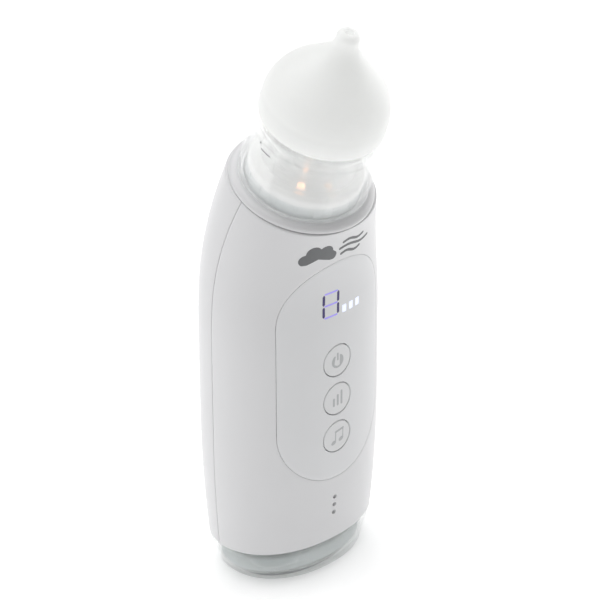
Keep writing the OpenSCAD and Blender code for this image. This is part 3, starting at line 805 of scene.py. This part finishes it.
def build_cup():
    """Skirt, flange, chamber and the stand-pipe in its floor, as one clear moulding."""
    skirt_in = CUP_R - CUP_WALL
    chamber_in = CHAMBER_R - CHAMBER_WALL
    upper_r = CUP_R - 0.35
    outline = [
        (skirt_in, 2.1, 0.15), (CUP_R, 2.1, 0.35), (CUP_R, 19.3, 0.2), (upper_r, 19.6, 0.1),
        (upper_r, CUP_TOP, 0.5), (CHAMBER_R, CUP_TOP, 0.15), (CHAMBER_R, CHAMBER_RIM, 0.45),
        (chamber_in, CHAMBER_RIM, 0.45), (chamber_in, 9.4, 1.4), (5.6, 9.4, 0.3), (5.6, 13, 0.3),
        (4.3, 13, 0.2), (4.3, 7.9, 0.15), (CHAMBER_R, 7.9, 0.7), (CHAMBER_R, 20.4, 0.6),
        (skirt_in, 20.4, 0.6),
    ]
    return lathe("cup_body", fillet(outline), steps=192)


def bezier(a, b, c, steps):
    """Points of the quadratic curve from a to c that b draws towards itself."""
    return [
        tuple(a[i] * (1 - t) ** 2 + b[i] * 2 * t * (1 - t) + c[i] * t * t for i in range(2))
        for t in (k / steps for k in range(steps + 1))
    ]


def build_tip():
    """Hollow silicone dome with a short nozzle that leans a little to one side."""
    fit = 0.12
    z0 = CUP_TOP + fit
    dome_z, dome_r, dome_h, end = 27.0, 16.8, 14.6, radians(40)
    wall = 1.8
    bore = 1.15
    steps = 20
    grip = CHAMBER_R + fit

    def dome(inset):
        return [
            ((dome_r - inset) * cos(end * i / steps), dome_z + (dome_h - inset) * sin(end * i / steps))
            for i in range(steps + 1)
        ]

    outline = [(grip, z0), (dome_r - 0.5, z0), (dome_r - 0.15, z0 + 0.15), (dome_r, z0 + 0.5)]
    outline += dome(0)
    outline += bezier((6.4, 42.8), (3.4, 45.8), (3.2, 48.3), 16)
    turns = [pi / 2 * i / 8 for i in range(8)]
    outline += [(1.3 + 1.9 * cos(a), 49.2 + 1.9 * sin(a)) for a in turns]
    outline += [(bore, 51.0), (bore, 46)]
    outline += list(reversed(bezier((4.4, 41.2), (bore, 44.4), (bore, 45.8), 10)))
    outline += list(reversed(dome(wall)))
    outline += [(dome_r - wall, z0 + 2.6), (grip, z0 + 2)]

    def leaning(x, y, w):
        lean = max(w - 28, 0) / 22
        return head_point(x + 1.1 * lean, y + 0.3 * lean, w)

    return lathe("tip_silicone", outline, steps=160, place=leaning, smooth=50)


def build_fill_mark():
    """Unlettered fill mark on the cup's skirt: a dot and a short level line."""
    parts = []
    steps = 16
    face, back = CUP_R + 0.01, CUP_R - 0.07
    for w, a0, a1, half in ((19.0, 171, 172.4, 0.25), (17.6, 174, 186, 0.14)):
        section = ((face, w - half), (face, w + half), (back, w + half), (back, w - half))
        turns = [radians(a0 + (a1 - a0) * k / steps) for k in range(steps + 1)]
        rings = [[head_point(r * cos(a), r * sin(a), level) for r, level in section] for a in turns]
        parts.append(from_rings("mark_%d" % len(parts), rings))
    return join("fill_mark", parts)


# ---------------------------------------------------------------- foot

def build_foot():
    """Clear cap under the handle, open upwards and drawn in towards the table."""
    rim = SEAM_Z - 0.12
    turns = [pi / 2 * i / 10 for i in range(11)]
    outer = [(20 + 1.6 * sin(a), 15.3 + 0.9 * sin(a), 0.8 + 1.8 * (1 - cos(a))) for a in turns]
    outer += [(23.0, 16.6, 5.6), (FOOT_W - 0.55, FOOT_D - 0.2, 8.4)]
    outer += [(FOOT_W - 0.15, FOOT_D - 0.04, rim - 0.4), (FOOT_W - 0.14, FOOT_D - 0.05, rim - 0.1)]
    outer += [(FOOT_W - 0.25, FOOT_D - 0.15, rim)]
    inner = [(FOOT_W - 1.6, FOOT_D - 1.5, rim), (22.7, 15.7, rim - 0.1), (22.3, 15.5, 6)]
    inner += [(21.6, 15.3, 3.6), (21.2, 15.1, 2.9), (20.3, 14.6, 2.4)]
    start = [(20.3 * f, 15.7 * f, 0.8) for f in (0.3, 0.9)]
    end = [(20.3 * f, 14.6 * f, 2.4) for f in (0.9, 0.3)]
    return from_rings("foot_clear", oval_rings(start + outer + inner + end))


def build_foot_band():
    """Grey ring inside the foot, with its corners cut."""
    low, high, bevel = 3.1, 7.4, 0.3
    (out_w, out_d), (in_w, in_d) = (21, 14.7), (19.6, 13.3)
    rows = [(out_w - bevel, out_d - bevel, low), (out_w, out_d, low + bevel), (out_w, out_d, high - bevel)]
    rows += [(out_w - bevel, out_d - bevel, high), (in_w + bevel, in_d + bevel, high)]
    rows += [(in_w, in_d, high - bevel), (in_w, in_d, low + bevel), (in_w + bevel, in_d + bevel, low)]
    return from_rings("foot_band", oval_rings(rows), closed=True)


def build_foot_pad():
    rows = [(17.6, 12.2, 0), (17.9, 12.5, 0.1), (18, 12.6, 0.3), (18, 12.6, 0.79)]
    return from_rings("foot_pad_soft", oval_rings(rows, 96))


def build_port_cover():
    """Soft cover: plate in the shell's pocket, plug behind it and a ridge for a fingernail."""
    z = port_height()
    plate = rounded_block("cover_plate", 14.0, 8.6, 1.3, 17.15, 18.5, z + 0.15, soft=0.25)
    lug = rounded_block("cover_lug", 9.6, 3.6, 1.7, 15.6, 17.3, z, soft=0.3)
    nail = rounded_block("cover_nail_ridge", 5.0, 0.7, 0.3, 18.3, 18.8, z + 3.1, soft=0.2)
    return join("port_cover", [plate, lug, nail])


# ---------------------------------------------------------------- assembly

place_piece(build_front_shell(), "handle", "shell_white", SHELL, "front_shell")
place_piece(build_rear_shell(), "handle", "shell_white", SHELL, "rear_shell")
place_piece(build_panel(), "handle", "panel_white", PANEL, "control_panel")
uprights, levels, bars = build_display()
place_piece(uprights, "handle", "display_light", FIGURE, "display_windows")
place_piece(levels, "handle", "display_light", FIGURE_EDGE, "display_windows")
place_piece(bars, "handle", "display_light", BARS, "display_windows")
ICONS = {"power": POWER_ICON, "level": LEVEL_ICON, "music": MUSIC_ICON}
for z, (word, strokes) in zip(BUTTON_Z, ICONS.items()):
    place_piece(build_button(word + "_cap", z), word + "_key", "button_grey", BUTTON, word + "_button")
    place_piece(icon(word + "_icon", z, strokes), word + "_key", "button_grey", ICON)
place_piece(build_mark(), "handle", "neck_grey", MARK)
place_piece(build_collar(), "handle", "shell_white", SHELL, "collar")
deck, band_ring = build_neck()
place_piece(deck, "handle", "shell_white", DECK, "neck")
place_piece(band_ring, "handle", "neck_grey", NECK, "neck")
place_piece(build_lamp("lamp_left", -140), "handle", "lamp_amber", AMBER, "neck_lamps")
place_piece(build_lamp("lamp_right", -95), "handle", "lamp_amber", AMBER_DIM, "neck_lamps")
place_piece(build_cup(), "collection_cup", "clear_plastic", CLEAR, "cup", "cup_skirt")
place_piece(build_fill_mark(), "collection_cup", "neck_grey", MARK)
place_piece(build_tip(), "soft_tip", "silicone", SILICONE, "tip")
place_piece(build_foot(), "handle", "clear_plastic", FOOT_CLEAR, "base_cap")
place_piece(build_foot_band(), "handle", "band_grey", BAND, "base_band")
place_piece(build_foot_pad(), "handle", "seal_rubber", SEAL, "foot_pad")
place_piece(build_port_cover(), "port_flap", "silicone", SEAL, "usb_cover")

# the CAD's own meshes show inside the handle; each slot has one finish
CAD_FINISHES = {
    "black_plastic": BLACK_PLASTIC, "board_green": BOARD, "steel": STEEL, "frame_plastic": FRAME_PLASTIC,
    "cell_foil": CELL_FOIL, "foam": FOAM, "pale_plastic": PALE_PLASTIC, "magnet": MAGNET, "copper": COPPER,
    "pump_grey": PUMP_GREY, "black_rubber": BLACK_RUBBER, "silicone": SILICONE, "seal_rubber": SEAL,
    "lamp_amber": AMBER, "clear_plastic": CLEAR, "neck_grey": NECK, "band_grey": BAND,
    "shell_white": SHELL, "panel_white": PANEL, "button_grey": BUTTON, "display_light": FIGURE,
}
for part in frame["record"]["subparts"]:
    node = frame["nodes"][part["node"]]
    node.data.materials.clear()
    node.data.materials.append(CAD_FINISHES[part["material_slot"]])


# ---------------------------------------------------------------- stage, light, camera

def build_stage():
    """Pale floor that glows a little, so that it reads as plain white."""
    half = 4
    corners = [(-half, -half, 0), (half, -half, 0), (half, half, 0), (-half, half, 0)]
    mesh = bpy.data.meshes.new("floor")
    mesh.from_pydata(corners, [], [(0, 1, 2, 3)])
    white = shader("table_white", (0.97, 0.97, 0.97), 0.6, grain=0.05, tone=0.005)
    mesh.materials.append(lit(white, (1, 1, 1), 0.34))
    link_object("floor", mesh)


def softbox(name, place, aim, size, power):
    light = bpy.data.lights.new(name, "AREA")
    light.shape = "RECTANGLE"
    light.size, light.size_y = size
    light.energy = power
    obj = link_object(name, light)
    obj.location = place
    obj.rotation_euler = (Vector(aim) - Vector(place)).to_track_quat("-Z", "Y").to_euler()


def build_lights():
    middle = (0, 0, 0.08)
    softbox("overhead", (0, 0.7, 2.4), (0, 0.2, 0), (3.2, 3.2), 52)
    softbox("rear_left", (-1.5, 1.0, 0.8), middle, (1.6, 1.4), 5.8)
    softbox("right", (1.6, 0.0, 0.6), middle, (1.4, 1.4), 10.5)
    world = bpy.data.worlds.new("studio")
    bpy.context.scene.world = world
    world.use_nodes = True
    background = world.node_tree.nodes["Background"]
    background.inputs["Color"].default_value = (1, 1, 1, 1)
    background.inputs["Strength"].default_value = 0.26


def build_camera():
    """Long lens from the front left, looking down on the object."""
    azimuth, elevation, roll = radians(-41.42), radians(29.73), radians(0.28)
    distance = 0.869
    target = Vector((0.0023, -0.0020, 0.0780))
    away = Vector((sin(azimuth) * cos(elevation), -cos(azimuth) * cos(elevation), sin(elevation)))
    data = bpy.data.cameras.new("camera")
    data.sensor_width = 36
    data.lens = 196.1
    camera = link_object("camera", data)
    camera.location = target + away * distance
    facing = (-away).to_track_quat("-Z", "Y").to_matrix().to_4x4()
    camera.rotation_euler = (facing @ Matrix.Rotation(-roll, 4, "Z")).to_euler()
    bpy.context.scene.camera = camera


bpy.context.scene.view_settings.view_transform = "Standard"
build_stage()
build_lights()
build_camera()
